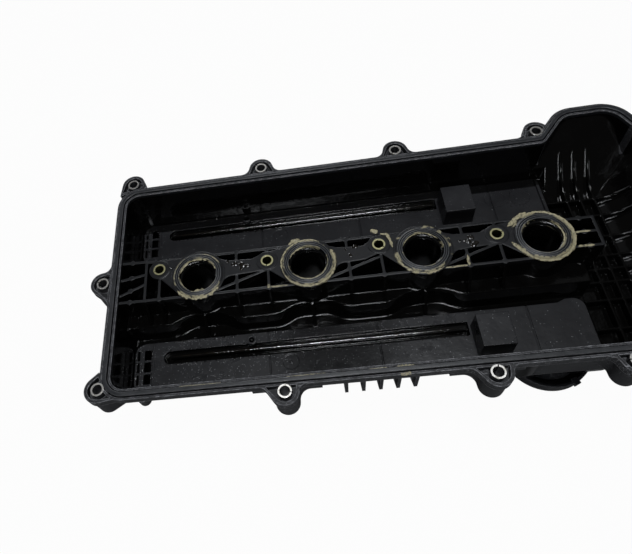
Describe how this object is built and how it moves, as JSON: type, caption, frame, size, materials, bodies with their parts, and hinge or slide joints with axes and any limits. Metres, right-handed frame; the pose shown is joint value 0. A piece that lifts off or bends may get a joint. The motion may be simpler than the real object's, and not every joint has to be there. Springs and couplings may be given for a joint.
{
  "type": "engine valve cover",
  "caption": "Moulded engine valve cover lying open side up, with ribbed coil valley, plug well seals, rim gasket, bolt sleeves, oil baffles and a turning filler cap.",
  "frame": {"origin": "centre of the bounding box's footprint, at the lowest point, which is the filler cap's grip", "axes": "+X along the cylinder row towards the cam chain end, +Y across the head away from the filler cap, +Z out of the open side, towards the cylinder head"},
  "size_m": [0.4923, 0.234, 0.0862],
  "materials": {
    "moulding": "satin black glass-filled nylon, oily inside",
    "baffle": "satin dark grey nylon, dusty and oily",
    "cap": "satin black nylon",
    "gasket_rubber": "matte dark grey rubber",
    "seal_rubber": "worn grey-black rubber",
    "steel": "plain rolled steel",
    "zinc": "yellow-passivated steel sleeve",
    "brass": "plain knurled brass"
  },
  "bodies": {
    "cover": {"cover_shell": "moulding", "perimeter_gasket": "gasket_rubber", "plug_seal_1": "seal_rubber", "plug_seal_2": "seal_rubber", "plug_seal_3": "seal_rubber", "plug_seal_4": "seal_rubber", "flange_sleeves": "steel", "centre_sleeves": "zinc", "near_baffle": "baffle", "far_baffle": "baffle", "coil_inserts": "brass", "valve_cap": "cap", "valve_diaphragm": "seal_rubber"},
    "filler_cap": {"oil_filler_cap": "cap", "filler_cap_seal": "seal_rubber"}
  },
  "joints": [
    {"name": "filler_cap_turn", "type": "hinge", "parent": "cover", "child": "filler_cap", "pos_m": [0.10845, -0.0667, 0.015], "axis": [0, 0, -1], "range_deg": [0, 90]}
  ]
}
